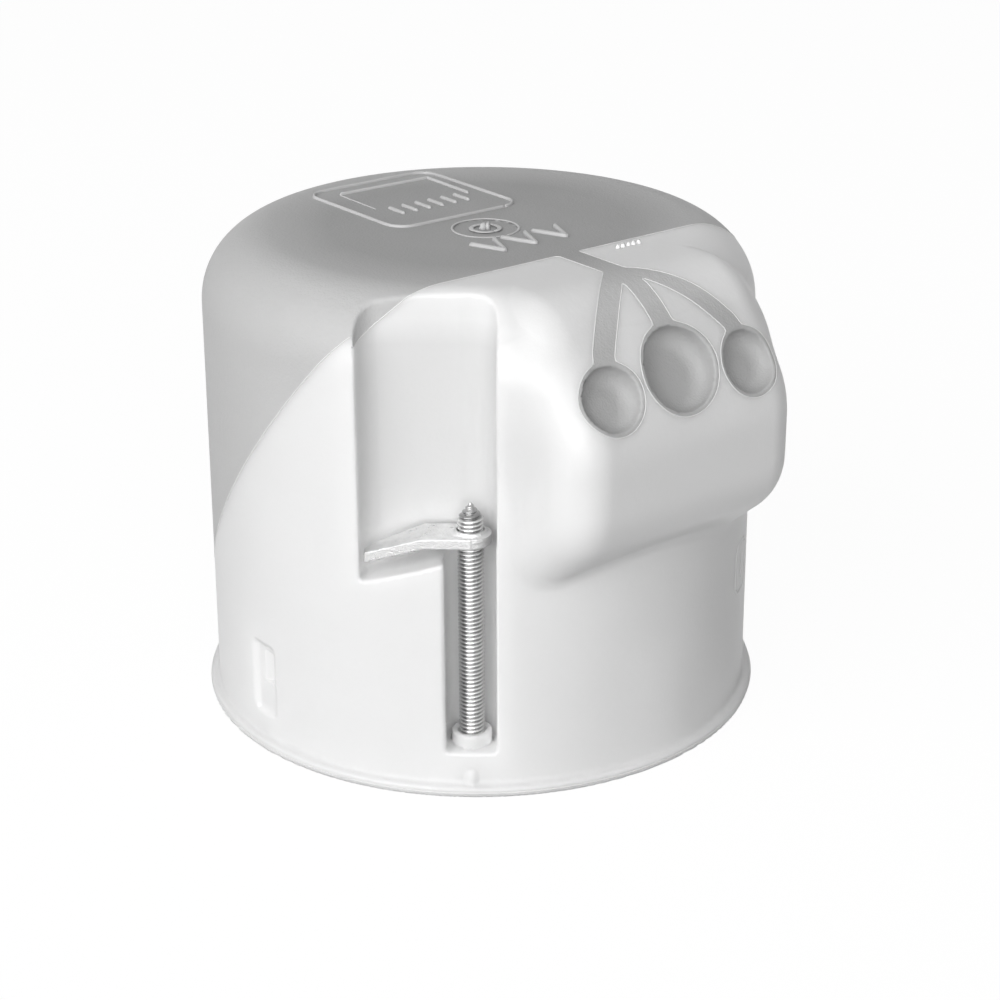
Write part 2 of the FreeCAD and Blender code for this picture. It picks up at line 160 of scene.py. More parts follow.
# %% Body and bulge as distance fields
BODY_RADIUS = 33.75
BODY_DRAFT = math.tan(math.radians(0.3))
BODY_DEPTH = 59.2
SHOULDER_RADIUS = 8.5
WALL = 1.6
BULGE_REACH = 39.3
BULGE_HALF_WIDTH = 17.0
BROW_X = 29.9
SLOPE = math.radians(55.0)
BROW_RADIUS = 9.0
NOSE_RADIUS = 12.0
CHIN_RADIUS = 8.5
CHIN_Z = 37.2
CHIN_ANGLE = math.radians(50.0)
FLANK_RADIUS = 5.0
HOLLOW_RADIUS = 6.0
CHIN_HOLLOW = 0.9
BULGE_ROOT_X = 18.0
FLANK_FOOT_Z = 35.0
FLANK_RUN = 13.0
TOP_RUN = 9.0


def body_field(x, y, z):
    """The round body."""
    side_gap = np.hypot(x, y) - (BODY_RADIUS - z * BODY_DRAFT)
    return round_common(side_gap, z - BODY_DEPTH, SHOULDER_RADIUS)


def slope_height(x):
    """Height of the bulge's slope at a distance from the box's axis."""
    return BODY_DEPTH - (x - BROW_X) * math.tan(SLOPE)


def arc_gap(x, z, centre, radius, low, high):
    """Distance to a rounded corner, only where the corner is the nearest part of the profile."""
    across, up = x - centre[0], z - centre[1]
    angle = np.arctan2(up, across)
    gap = np.hypot(across, up) - radius
    return np.where((angle > low) & (angle < high), gap, -1e3)


def bulge_field(x, y, z):
    """The bulge, with its flanks rounded."""
    lean = math.pi / 2 - SLOPE
    slope_gap = (x - BROW_X) * math.cos(lean) + (z - BODY_DEPTH) * math.sin(lean)
    brow = (BROW_X - BROW_RADIUS * math.tan(SLOPE / 2), BODY_DEPTH - BROW_RADIUS)
    nose_x = BULGE_REACH - NOSE_RADIUS
    nose_z = slope_height(BULGE_REACH) - NOSE_RADIUS * math.tan(lean / 2)
    chin_x = BULGE_REACH - CHIN_RADIUS
    under_gap = (x - chin_x) * math.cos(CHIN_ANGLE) - (z - CHIN_Z) * math.sin(CHIN_ANGLE) - CHIN_RADIUS
    profile = np.maximum.reduce([
        z - BODY_DEPTH,
        slope_gap,
        x - BULGE_REACH,
        under_gap,
        arc_gap(x, z, brow, BROW_RADIUS, lean, math.pi / 2),
        arc_gap(x, z, (nose_x, nose_z), NOSE_RADIUS, 0, lean),
        arc_gap(x, z, (chin_x, CHIN_Z), CHIN_RADIUS, -CHIN_ANGLE, 0),
        BULGE_ROOT_X - x,
    ])
    return round_common(profile, np.abs(y) - BULGE_HALF_WIDTH, FLANK_RADIUS)


def eased(share):
    """A share between 0 and 1 that starts and ends softly."""
    share = np.clip(share, 0, 1)
    return share * share * (3 - 2 * share)


def form_field(x, y, z):
    """Body and bulge together: the hollow between them is tight under the chin and wide on the flanks,
    and fades out towards the flat top that both share."""
    widening = CHIN_HOLLOW + (HOLLOW_RADIUS - CHIN_HOLLOW) * eased((z - FLANK_FOOT_Z) / FLANK_RUN)
    hollow = widening * eased((BODY_DEPTH - z) / TOP_RUN)
    return round_union(body_field(x, y, z), bulge_field(x, y, z), hollow)


# %% [markdown]
# A cable is pushed through one of three soft cups in the bulge's slope. Each cup is a dish with an upright
# wall, a wide rounded corner and a floor, so it is a short cylinder with a round edge, cut into the slope.
# Each row of the table gives a cup's centre in plan, its radius and its depth.

# %% Cups in the slope as fields
CUP_TILT = math.radians(35.0)
CUP_WALL = 1.3
CUP_LIP = 0.35
CUP_FOOT = 2.0
CUP_CROWN = 0.2
CUPS = ((36.75, -10.1, 4.0, 2.2), (36.0, 0.0, 5.2, 2.5), (36.75, 10.1, 4.0, 2.2))


def cup_frame(x, y, z, cup):
    """Distance from a cup's axis, and height above its rim."""
    centre_x, centre_y = cup[0], cup[1]
    ahead, up = x - centre_x, z - slope_height(centre_x)
    height = ahead * math.cos(CUP_TILT) + up * math.sin(CUP_TILT)
    down = ahead * math.sin(CUP_TILT) - up * math.cos(CUP_TILT)
    return np.hypot(down, y - centre_y), height


def dish_field(x, y, z):
    """The hollows of all three cups."""
    dishes = []
    for cup in CUPS:
        distance, height = cup_frame(x, y, z, cup)
        crown = CUP_CROWN * np.clip(1 - (distance / cup[2]) ** 2, 0, 1)
        dishes.append(round_common(distance - cup[2] + CUP_LIP, -height - cup[3] + crown, CUP_FOOT))
    return np.minimum.reduce(dishes)


# %% [markdown]
# Each claw has a narrow channel for its screw and a wider pocket above a sloping ledge.
# Both are cut into the wall as one recess, drawn in a frame whose first axis points out through the screw.

# %% Claw recess, openings and inner space as fields
CLAW_AZIMUTH = -39.6
CLAW_AZIMUTHS = (CLAW_AZIMUTH, CLAW_AZIMUTH + 180)
CLAW_AXIS_RADIUS = 30.3
CHANNEL_RADIUS = 2.95
CHANNEL_FLOOR = 5.2
COLLAR_RADIUS = 2.35
COLLAR_HEIGHT = 1.6
POCKET_LEFT = -12.6
POCKET_LEFT_CORNER = 2.4
POCKET_RIGHT_CORNER = 3.75
LEDGE_HIGH = 29.0
LEDGE_LOW = 25.8
RECESS_EDGE = 0.38
CHANNEL_CORNER = 0.5
POCKET_CORNER = 0.6


def claw_frame(x, y, azimuth):
    """Coordinates outwards and along the wall, measured from a claw screw's axis."""
    outwards, along = about_axis(x, y, azimuth)
    return outwards - CLAW_AXIS_RADIUS, along


def channel_plan(outwards, along):
    """The channel's plan: a slot with a round bottom, open outwards."""
    return np.where(outwards > 0, np.abs(along), np.hypot(outwards, along)) - CHANNEL_RADIUS


def pocket_plan(outwards, along):
    """The pocket's plan: a flat floor with two rounded corners, open outwards."""
    floor = -CHANNEL_RADIUS - outwards
    left = round_common(floor, POCKET_LEFT - along, POCKET_LEFT_CORNER)
    right = round_common(floor, along - CHANNEL_RADIUS, POCKET_RIGHT_CORNER)
    return np.maximum(left, right)


def ledge_gap(along, z):
    """How far a point lies below the sloping ledge."""
    fall = (LEDGE_HIGH - LEDGE_LOW) / (-POCKET_LEFT - CHANNEL_RADIUS)
    return (LEDGE_HIGH + (along + CHANNEL_RADIUS) * fall - z) / math.hypot(1, fall)


def recess_field(x, y, z, azimuth):
    """Channel and pocket of one claw."""
    outwards, along = claw_frame(x, y, azimuth)
    channel = round_common(channel_plan(outwards, along), CHANNEL_FLOOR - z, CHANNEL_CORNER)
    pocket = round_common(pocket_plan(outwards, along), ledge_gap(along, z), POCKET_CORNER)
    return round_union(channel, pocket, 0.3)


def hole_field(x, y, azimuth, radius, distance):
    """An upright round hole at a distance from the box's axis."""
    outwards, along = about_axis(x, y, azimuth)
    return np.hypot(outwards - distance, along) - radius


WINDOW_LOW = 4.2
WINDOW_HIGH = 13.4


def window_fields(x, y, z, azimuth):
    """Small window over a device screw: a shallow recess, and in it a slot that deepens to one side."""
    outwards, along = about_axis(x, y, azimuth)
    opening = block_field(outwards, along, z, (33.1, -1.0, WINDOW_LOW), (36, 3.1, WINDOW_HIGH), 0.6)
    slot = block_field(outwards, along, z, (30.4, 0.4, 8.2), (36, 2.7, 12.3), 0.2)
    wedge = 33.2 - (along - 0.4) * 1.1 - outwards
    return opening, round_common(slot, wedge, 0.1)


def inner_space_field(x, y, z, form):
    """The hollow inside, one wall thickness within the skin and clear of the recesses and cups."""
    space = np.maximum(form + WALL, CUP_WALL - dish_field(x, y, z))
    for azimuth in CLAW_AZIMUTHS:
        outwards, along = claw_frame(x, y, azimuth)
        pocket = np.maximum(pocket_plan(outwards, along), ledge_gap(along, z))
        space = np.maximum(space, WALL - np.minimum(channel_plan(outwards, along), pocket))
    return space


# %% [markdown]
# The whole moulding is one field: skin and flange, minus recesses, minus the hollow inside, plus four screw
# domes, minus their holes. The gate, where the plastic ran in, is a shallow disc on the back with a torn nub.

# %% The whole moulding as one field
FLANGE_RADIUS = 34.85
FLANGE_THICKNESS = 1.2
SCREW_CIRCLE = 30.0
DOME_RADIUS = 3.9
DOME_HEIGHT = 16.0
GATE = (2.7, -1.0)
GATE_RADIUS = 3.9
GATE_SINK = 0.12
NUB_RADIUS = 0.85
NUB_TOP = 2.2
ROUND = (0, 90, 180, 270)
# Each row: azimuths, radius, distance from the box's axis, depth.
HOLES = (
    (ROUND, 1.35, SCREW_CIRCLE, 14.0),
    ((-90, 90), 2.9, SCREW_CIRCLE, 2.9),
    (CLAW_AZIMUTHS, 2.6, CLAW_AXIS_RADIUS, 2.9),
    (CLAW_AZIMUTHS, 1.55, CLAW_AXIS_RADIUS, 7.0),
)


def flange_field(x, y, z):
    """The flange, with its outer edge rounded."""
    return round_common(np.hypot(x, y) - FLANGE_RADIUS, z - FLANGE_THICKNESS, 0.45)


def outside_field(x, y, z):
    """Skin, flange, claw recesses with their collars, dished cups, the gate and the nub below each channel."""
    solid = round_union(form_field(x, y, z), flange_field(x, y, z), 0.5)
    for azimuth in CLAW_AZIMUTHS:
        solid = round_common(solid, -recess_field(x, y, z, azimuth), RECESS_EDGE)
        collar = round_common(hole_field(x, y, azimuth, COLLAR_RADIUS, CLAW_AXIS_RADIUS),
                              z - CHANNEL_FLOOR - COLLAR_HEIGHT, 0.25)
        solid = np.minimum(solid, collar)
        outwards, along = about_axis(x, y, azimuth)
        beyond = np.hypot(outwards - BODY_RADIUS + 0.5, along)
        nub = np.hypot(beyond, np.maximum(z - NUB_TOP, 0)) - NUB_RADIUS
        solid = round_union(solid, nub, 0.3)
    gate = np.maximum(np.hypot(x - GATE[0], y - GATE[1]) - GATE_RADIUS, BODY_DEPTH - GATE_SINK - z)
    return np.maximum(round_common(solid, -dish_field(x, y, z), CUP_LIP), -gate)


def shell_field(x, y, z):
    """The whole moulding: outside, hollow inside, screw domes and holes."""
    space = inner_space_field(x, y, z, form_field(x, y, z))
    for azimuth in ROUND:
        outwards, along = about_axis(x, y, azimuth)
        post = np.where(outwards > SCREW_CIRCLE, np.abs(along), np.hypot(outwards - SCREW_CIRCLE, along))
        space = np.maximum(space, -np.maximum(post - DOME_RADIUS, z - DOME_HEIGHT))
    solid = round_common(outside_field(x, y, z), -space, 0.2)
    for azimuths, radius, distance, depth in HOLES:
        for azimuth in azimuths:
            solid = np.maximum(solid, -np.maximum(hole_field(x, y, azimuth, radius, distance), z - depth))
    for azimuth in (-90, 90):
        opening, slot = window_fields(x, y, z, azimuth)
        solid = np.maximum(round_common(solid, -opening, 0.35), -slot)
    return round_common(solid, -z, 0.2)


# %% [markdown]
# A field becomes a mesh in two steps. Space is divided into small cells, and each cell that the surface passes
# through gets one vertex; neighbouring cells join into quads. Then every vertex slides along the field's slope
# until it lies on the surface exactly. Only cells near the surface are worked out, which keeps it fast.

# %% Turn a distance field into a mesh
COARSE = 4


def slope_of(field, points, step=0.02):
    """Direction in which a field grows, at each point."""
    parts = []
    for axis in range(3):
        shift = np.zeros(3)
        shift[axis] = step
        ahead = field(*(points + shift).T)
        behind = field(*(points - shift).T)
        parts.append(ahead - behind)
    slope = np.stack(parts, 1) / (2 * step)
    return slope, np.maximum(np.linalg.norm(slope, axis=1, keepdims=True), 1e-6)


def settle(field, points, rounds):
    """Moves points onto the surface of a field."""
    for _ in range(rounds):
        slope, length = slope_of(field, points)
        move = field(*points.T)[:, None] * slope / length ** 2
        points = points - np.clip(move, -0.25, 0.25)
    return points


def sample_band(field, low, counts, cell):
    """Values of a field on a grid: worked out near the surface, and roughly right elsewhere."""
    coarse_counts = [count // COARSE + 2 for count in counts]
    axes = [low[i] + cell * COARSE * np.arange(coarse_counts[i]) for i in range(3)]
    coarse = field(*np.meshgrid(*axes, indexing="ij"))
    index = [np.minimum(np.round(np.arange(count) / COARSE).astype(int), most - 1)
             for count, most in zip(counts, coarse_counts)]
    values = coarse[np.ix_(*index)].astype(np.float32)
    near = np.argwhere(np.abs(values) < cell * COARSE * 1.6)
    points = np.array(low) + near * cell
    exact = np.concatenate([field(*part.T) for part in np.array_split(points, 8)])
    values[tuple(near.T)] = exact
    return values


def quads_between(values, number):
    """Quads that join the vertices of neighbouring cells wherever the surface crosses a grid edge."""
    quads = []
    inside = values < 0
    for axis in range(3):
        order = [axis, (axis + 1) % 3, (axis + 2) % 3]
        solid = inside.transpose(order)
        cells = number.transpose(order)
        start, end = solid[:-1, 1:-1, 1:-1], solid[1:, 1:-1, 1:-1]
        a = cells[:, :-1, :-1]
        b = cells[:, 1:, :-1]
        c = cells[:, 1:, 1:]
        d = cells[:, :-1, 1:]
        leaving = start & ~end
        entering = ~start & end
        quads.append(np.stack([a[leaving], b[leaving], c[leaving], d[leaving]], 1))
        quads.append(np.stack([a[entering], d[entering], c[entering], b[entering]], 1))
    return np.concatenate(quads)


def mesh_of_field(field, low, high, cell):
    """Vertices and quads of a field's surface, with every vertex on it."""
    counts = [int(math.ceil((high[i] - low[i]) / cell)) + 1 for i in range(3)]
    values = sample_band(field, low, counts, cell)
    total = np.zeros([count - 1 for count in counts] + [3])
    crossings = np.zeros([count - 1 for count in counts])
    for axis in range(3):
        size = [slice(None)] * 3
        size[axis] = slice(0, -1)
        ahead = [slice(None)] * 3
        ahead[axis] = slice(1, None)
        here, there = values[tuple(size)], values[tuple(ahead)]
        crosses = np.argwhere((here < 0) != (there < 0))
        first, second = here[tuple(crosses.T)], there[tuple(crosses.T)]
        spots = crosses.astype(float)
        spots[:, axis] += first / (first - second)
        others = [i for i in range(3) if i != axis]
        for back_one in (0, 1):
            for back_two in (0, 1):
                owner = crosses.copy()
                owner[:, others[0]] -= back_one
                owner[:, others[1]] -= back_two
                good = np.all((owner >= 0) & (owner < np.array(crossings.shape)), axis=1)
                place = tuple(owner[good].T)
                np.add.at(total, place, spots[good])
                np.add.at(crossings, place, 1)
    used = crossings > 0
    number = np.full(crossings.shape, -1)
    number[used] = np.arange(used.sum())
    points = np.array(low) + cell * total[used] / crossings[used][:, None]
    return settle(field, points, 3), quads_between(values, number)


SHELL_CELL = 0.4
SHELL_LOW = (-36.6, -36.6, -1.9)
SHELL_HIGH = (40.6, 36.6, 60.8)
shell_points, shell_quads = mesh_of_field(shell_field, SHELL_LOW, SHELL_HIGH, SHELL_CELL)
print("shell:", len(shell_points), "vertices,", len(shell_quads), "quads")

# %% [markdown]
# Two plastics meet in this skin. The soft one covers the rear and back behind a seam, and runs as thin strips
# over the bulge to the cups. The soft side is written as one more field, and the mesh is split exactly where it
# is zero: edges get a new vertex at the crossing, and faces are divided between those vertices. After that both
# skins are thinned, because wide smooth areas need fewer triangles than edges do.

# %% Where the soft plastic is
SEAM_TOP_X = 16.85
SEAM_KNEE_Z = 57.3
SEAM_FOOT_X = -17.1
SEAM_FOOT_Z = 17.0
RUNNER_SKIN = 0.9
RUNNER_LOW_Z = 50.0
TRUNK_HALF = 1.55
BRANCH_HALF = 1.17
MIDDLE_HALF = 1.4
CUP_BORDER = 0.25
CUP_BACKING = 0.6


def seam_field(x, z):
    """Distance to the seam seen from the side: across the back, down a slope, and level round the rear."""
    run, rise = SEAM_TOP_X - SEAM_FOOT_X, SEAM_KNEE_Z - SEAM_FOOT_Z
    sloping = ((x - SEAM_TOP_X) * rise - (z - SEAM_KNEE_Z) * run) / math.hypot(run, rise)
    return np.maximum.reduce([x - SEAM_TOP_X, sloping, SEAM_FOOT_Z - z])


def pocket_seam_field(x, y, z):
    """Inside the first claw's pocket the seam lies higher: it climbs over the floor from left to right."""
    outwards, along = claw_frame(x, y, CLAW_AZIMUTH)
    climbing = (53.7 + 0.86 * (along + 12.4) - z) * 0.76
    inside = recess_field(x, y, z, CLAW_AZIMUTH) - 0.2
    return np.maximum(inside, np.maximum(climbing, x - SEAM_TOP_X)), inside


def runner_plan(x, y):
    """Trunk and branches seen from above."""
    trunk = np.maximum(np.abs(y - 0.05) - TRUNK_HALF, np.abs(x - 20.0) - 6.0)
    left = strip_gap(x, y, (25.7, -0.6), (34.6, -9.7), BRANCH_HALF)
    middle = strip_gap(x, y, (25.5, 0.05), (33.5, 0.05), MIDDLE_HALF)
    right = strip_gap(x, y, (25.6, 0.6), (34.5, 9.6), BRANCH_HALF)
    return np.minimum(np.minimum(trunk, middle), np.minimum(left, right))


def soft_field(x, y, z):
    """Everything made of soft plastic: below zero there."""
    in_pocket, inside = pocket_seam_field(x, y, z)
    wall = np.minimum(np.maximum(seam_field(x, z), -inside), in_pocket)
    runners = np.maximum(np.maximum(runner_plan(x, y), RUNNER_LOW_Z - z), -RUNNER_SKIN - form_field(x, y, z))
    soft = np.minimum(wall, runners)
    for cup in CUPS:
        distance, height = cup_frame(x, y, z, cup)
        soft = np.minimum(soft, np.maximum(distance - cup[2] - CUP_BORDER, -height - cup[3] - CUP_BACKING))
    return soft


# %% Split the skin along the seam
HARD_TRIANGLES = 190000
SOFT_TRIANGLES = 130000
HALVINGS = 14


def mesh_from(name, points, faces):
    """A Blender mesh from millimetre points and lists of corners."""
    mesh = bpy.data.meshes.new(name)
    mesh.from_pydata((np.asarray(points) * MM).tolist(), [], [list(map(int, face)) for face in faces])
    mesh.validate()
    return mesh


def crossing_points(field, first, second):
    """Where a field is zero on each of many short lines."""
    low, high = np.zeros(len(first)), np.ones(len(first))
    falls = field(*first.T) > 0
    for _ in range(HALVINGS):
        middle = (low + high) / 2
        spots = first + (second - first) * middle[:, None]
        ahead = (field(*spots.T) > 0) == falls
        low = np.where(ahead, middle, low)
        high = np.where(ahead, high, middle)
    return np.clip((low + high) / 2, 0.02, 0.98)


def split_along(whole, field):
    """Cuts a mesh's faces along the zero line of a field, and returns the new vertices."""
    whole.verts.ensure_lookup_table()
    points = np.array([vertex.co for vertex in whole.verts]) / MM
    inside = field(*points.T) < 0
    mixed = [face for face in whole.faces if len({bool(inside[vertex.index]) for vertex in face.verts}) == 2]
    bmesh.ops.triangulate(whole, faces=mixed)
    crossing = [edge for edge in whole.edges if inside[edge.verts[0].index] != inside[edge.verts[1].index]]
    first = points[[edge.verts[0].index for edge in crossing]]
    second = points[[edge.verts[1].index for edge in crossing]]
    fresh = []
    for edge, share in zip(crossing, crossing_points(field, first, second)):
        fresh.append(bmesh.utils.edge_split(edge, edge.verts[0], float(share))[1])
    marked = set(fresh)
    for face in {face for vertex in fresh for face in vertex.link_faces}:
        cut = [vertex for vertex in face.verts if vertex in marked]
        if len(cut) == 2:
            bmesh.utils.face_split(face, cut[0], cut[1])
    return fresh


def soft_halves(mesh):
    """The mesh's hard and soft parts as two new meshes, and the paths along which they meet."""
    whole = bmesh.new()
    whole.from_mesh(mesh)
    fresh = split_along(whole, soft_field)
    whole.faces.ensure_lookup_table()
    middles = np.array([face.calc_center_median() for face in whole.faces]) / MM
    soft = soft_field(*middles.T) < 0
    for face, is_soft in zip(whole.faces, soft):
        face.material_index = int(is_soft)
    whole.verts.index_update()
    pairs = []
    for edge in whole.edges:
        if len(edge.link_faces) == 2 and edge.link_faces[0].material_index != edge.link_faces[1].material_index:
            pairs.append((edge.verts[0].index, edge.verts[1].index))
    places = np.array([vertex.co for vertex in whole.verts]) / MM
    halves = []
    for name, kept in (("hard_skin", 0), ("soft_skin", 1)):
        half = whole.copy()
        others = [face for face in half.faces if face.material_index != kept]
        bmesh.ops.delete(half, geom=others, context="FACES")
        for face in half.faces:
            face.material_index = 0
        part = bpy.data.meshes.new(name)
        half.to_mesh(part)
        half.free()
        halves.append(part)
    whole.free()
    print(len(fresh), "vertices along the seam")
    return halves, pairs, places


def thinned(mesh, triangles):
    """The same skin with fewer triangles where it is flat; the open edge along the seam keeps its vertices."""
    shape = bmesh.new()
    shape.from_mesh(mesh)
    bmesh.ops.triangulate(shape, faces=shape.faces[:])
    inner = [vertex.index for vertex in shape.verts if not vertex.is_boundary]
    share = triangles / len(shape.faces)
    shape.to_mesh(mesh)
    shape.free()
    carrier = bpy.data.objects.new("thinning", mesh)
    bpy.context.scene.collection.objects.link(carrier)
    carrier.vertex_groups.new(name="inner").add(inner, 1.0, "REPLACE")
    modifier = carrier.modifiers.new("thin", "DECIMATE")
    modifier.ratio = share
    modifier.vertex_group = "inner"
    carrier = carrier.evaluated_get(bpy.context.evaluated_depsgraph_get())
    fewer = bpy.data.meshes.new_from_object(carrier)
    bpy.data.objects.remove(carrier.original)
    bpy.data.meshes.remove(mesh)
    return fewer


# %% Shade the skins and set them on the box
def smooth_by_field(mesh, field):
    """Shades a mesh with the field's own directions, so no facet shows."""
    points = np.zeros(len(mesh.vertices) * 3)
    mesh.vertices.foreach_get("co", points)
    slope, length = slope_of(field, points.reshape(-1, 3) / MM)
    mesh.shade_smooth()
    mesh.normals_split_custom_set_from_vertices((slope / length).tolist())


def add_piece(name, mesh, body="box"):
    """Puts a mesh in the scene as a piece that rides on a CAD body."""
    piece = bpy.data.objects.new(name, mesh)
    bpy.context.scene.collection.objects.link(piece)
    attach(piece, body)
    return piece


def add_skin(name, mesh, triangles, node):
    """One skin, thinned and shaded, as a piece in the place of its node."""
    mesh = thinned(mesh, triangles)
    smooth_by_field(mesh, shell_field)
    skin = add_piece(name, mesh)
    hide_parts(node)
    print(name, len(mesh.polygons), "faces")
    return skin


shell_mesh = mesh_from("shell", shell_points, shell_quads)
(hard_mesh, soft_mesh), seam_pairs, seam_places = soft_halves(shell_mesh)
bpy.data.meshes.remove(shell_mesh)
hard_skin = add_skin("hard_skin", hard_mesh, HARD_TRIANGLES, "housing")
soft_skin = add_skin("soft_skin", soft_mesh, SOFT_TRIANGLES, "soft_wall")

# %% [markdown]
# Where the second plastic was shot against the first, the hard shell keeps a fine raised edge, which catches
# the light as a bright line. The split gives the loose edges of that line; they are put in order, spaced
# evenly, and a thin bead is drawn along them, standing on the skin. A curve with a bevel could do it as well,
# but this bead's sides follow the skin's own slope.

# %% Raised lines on a surface
BEAD_SIDES = 8
FINE_BEAD = 0.07
SEAM_BEAD = 0.13
BEAD_STEP = 0.35
RIM_LINE_Z = 0.55


def paths_from(pairs):
    """Orders loose edges, given as pairs of vertex numbers, into paths."""
    neighbours = {}
    for one, two in pairs:
        neighbours.setdefault(one, []).append(two)
        neighbours.setdefault(two, []).append(one)
    paths = []
    starts = sorted(neighbours, key=lambda vertex: (len(neighbours[vertex]) != 1, vertex))
    for start in starts:
        while neighbours[start]:
            path = [start]
            while neighbours[path[-1]]:
                following = neighbours[path[-1]].pop()
                neighbours[following].remove(path[-1])
                path.append(following)
            paths.append(path)
    return paths


def even_path(points, spacing):
    """The same path with points at even distances."""
    steps = np.linalg.norm(np.diff(points, axis=0), axis=1)
    reach = np.concatenate([[0], np.cumsum(steps)])
    marks = np.linspace(0, reach[-1], max(int(reach[-1] / spacing), 2) + 1)
    return np.stack([np.interp(marks, reach, points[:, i]) for i in range(3)], 1)


def tube_faces(rows, sides):
    """Quads between rows of points that each go once round, and a face at both ends."""
    faces = []
    for row in range(rows - 1):
        for number in range(sides):
            here, beside = row * sides + number, row * sides + (number + 1) % sides
            faces.append((here, beside, beside + sides, here + sides))
    faces.append(tuple(reversed(range(sides))))
    faces.append(tuple(range((rows - 1) * sides, rows * sides)))
    return faces


def raised_line(points, normals, half_width, height, sink=0.3):
    """Points and quads of a rounded bead along a path: it stands on the surface and tapers off at its ends."""
    points, normals = np.asarray(points, float), np.asarray(normals, float)
    ahead = np.gradient(points, axis=0)
    ahead /= np.linalg.norm(ahead, axis=1, keepdims=True)
    sideways = np.cross(normals, ahead)
    sideways /= np.linalg.norm(sideways, axis=1, keepdims=True)
    taper = np.ones(len(points))
    taper[[0, -1]] = 0.35
    rings = []
    for turn in np.arange(BEAD_SIDES) * math.tau / BEAD_SIDES:
        lift = height * (math.sin(turn) if math.sin(turn) > 0 else sink * math.sin(turn))
        rings.append(points + (sideways * half_width * math.cos(turn) + normals * lift) * taper[:, None])
    rings = np.stack(rings, 1).reshape(-1, 3)
    return rings, tube_faces(len(points), BEAD_SIDES)


def joined(shapes):
    """Several lists of points and faces as one."""
    points, faces, count = [], [], 0
    for shape_points, shape_faces in shapes:
        points.append(shape_points)
        faces.extend([[corner + count for corner in face] for face in shape_faces])
        count += len(shape_points)
    return np.concatenate(points), faces


def skin_bead(path):
    """A fine bead along seam vertices, laid on the outer skin; it is finest round runners and cups."""
    points = even_path(seam_places[path], BEAD_STEP)
    for _ in range(2):
        points[1:-1] = (points[:-2] + 2 * points[1:-1] + points[2:]) / 4
    points = settle(outside_field, points, 2)
    slope, length = slope_of(outside_field, points)
    size = FINE_BEAD if points[:, 0].max() > SEAM_TOP_X + 3 else SEAM_BEAD
    return raised_line(points, slope / length, size, size * 0.7)


def wall_line(corners, half_width, height, radius=BODY_RADIUS):
    """A raised line on the round wall, through corners given as azimuth in degrees and height."""
    turned = [(radius * math.cos(math.radians(a)), radius * math.sin(math.radians(a)), z) for a, z in corners]
    points = settle(outside_field, even_path(np.array(turned), 0.3), 3)
    slope, length = slope_of(outside_field, points)
    return raised_line(points, slope / length, half_width, height)


def add_lines(name, shapes):
    """Raised lines together as one piece on the box."""
    points, faces = joined(shapes)
    piece = add_piece(name, mesh_from(name, points, faces))
    piece.data.shade_smooth()
    print(name, len(faces), "faces")
    return piece


# %% Beads along the seam, the rim and the wall mark
seam_gap = np.abs(outside_field(*seam_places.T))
outer_pairs = [pair for pair in seam_pairs if max(seam_gap[list(pair)]) < 0.06]
seam_paths = [path for path in paths_from(outer_pairs) if len(path) > 12]
rim_line = wall_line([(turn, RIM_LINE_Z) for turn in range(0, 361, 2)], 0.1, 0.07, FLANGE_RADIUS)
oval = [(30.4, 16.0), (30.4, 20.6), (32.2, 21.5), (37.2, 21.5),
        (39.0, 20.6), (39.0, 16.0), (37.2, 15.1), (32.2, 15.1)]
wall_mark = [wall_line(oval + oval[:1], 0.2, 0.07), wall_line([(34.7, 16.6), (34.7, 20.0)], 0.25, 0.1)]
beads = [skin_bead(path) for path in seam_paths] + [rim_line] + wall_mark
seam_bead = add_lines("seam_bead", beads)

# %% [markdown]
# The back carries a raised sign. It is generic here: a rounded frame with plain bars, and three arrows that
# point to the cable cups. Each line is a short path on the flat top, drawn with the same bead, a little wider.

# %% Signs on the back
SIGN_HALF_WIDTH = 0.2
SIGN_HEIGHT = 0.34


def flat_line(corners, half_width=SIGN_HALF_WIDTH, height=SIGN_HEIGHT, level=BODY_DEPTH):
    """A raised line on the flat top, through corners given in plan."""
    points = even_path(np.array([(x, y, level) for x, y in corners]), 0.25)
    return raised_line(points, np.tile((0.0, 0.0, 1.0), (len(points), 1)), half_width, height)


def rounded_frame(low, high, radius):
    """Corners in plan of a closed frame with rounded corners."""
    corners = []
    middles = ((high[0], high[1], 0), (low[0], high[1], 90), (low[0], low[1], 180), (high[0], low[1], 270))
    for corner_x, corner_y, start in middles:
        centre_x = corner_x + (radius if corner_x == low[0] else -radius)
        centre_y = corner_y + (radius if corner_y == low[1] else -radius)
        for turn in np.radians(np.linspace(start, start + 90, 8)):
            corners.append((centre_x + radius * math.cos(turn), centre_y + radius * math.sin(turn)))
    return corners + corners[:1]


def gate_ring(radius, half_width, height):
    """A ring round the gate."""
    turns = np.linspace(0, math.tau, 60)
    corners = [(GATE[0] + radius * math.cos(turn), GATE[1] + radius * math.sin(turn)) for turn in turns]
    return flat_line(corners, half_width, height)


def gate_marks():
    """Two rings round the gate, and the small torn nub in its middle."""
    x, y = GATE
    return [gate_ring(4.0, 0.16, 0.12),
            gate_ring(1.7, 0.32, 0.1),
            flat_line([(x - 0.5, y - 0.3), (x + 0.3, y - 0.2)], 0.55, 0.75),
            flat_line([(x + 0.1, y + 0.2), (x + 0.5, y + 0.1)], 0.35, 0.95)]


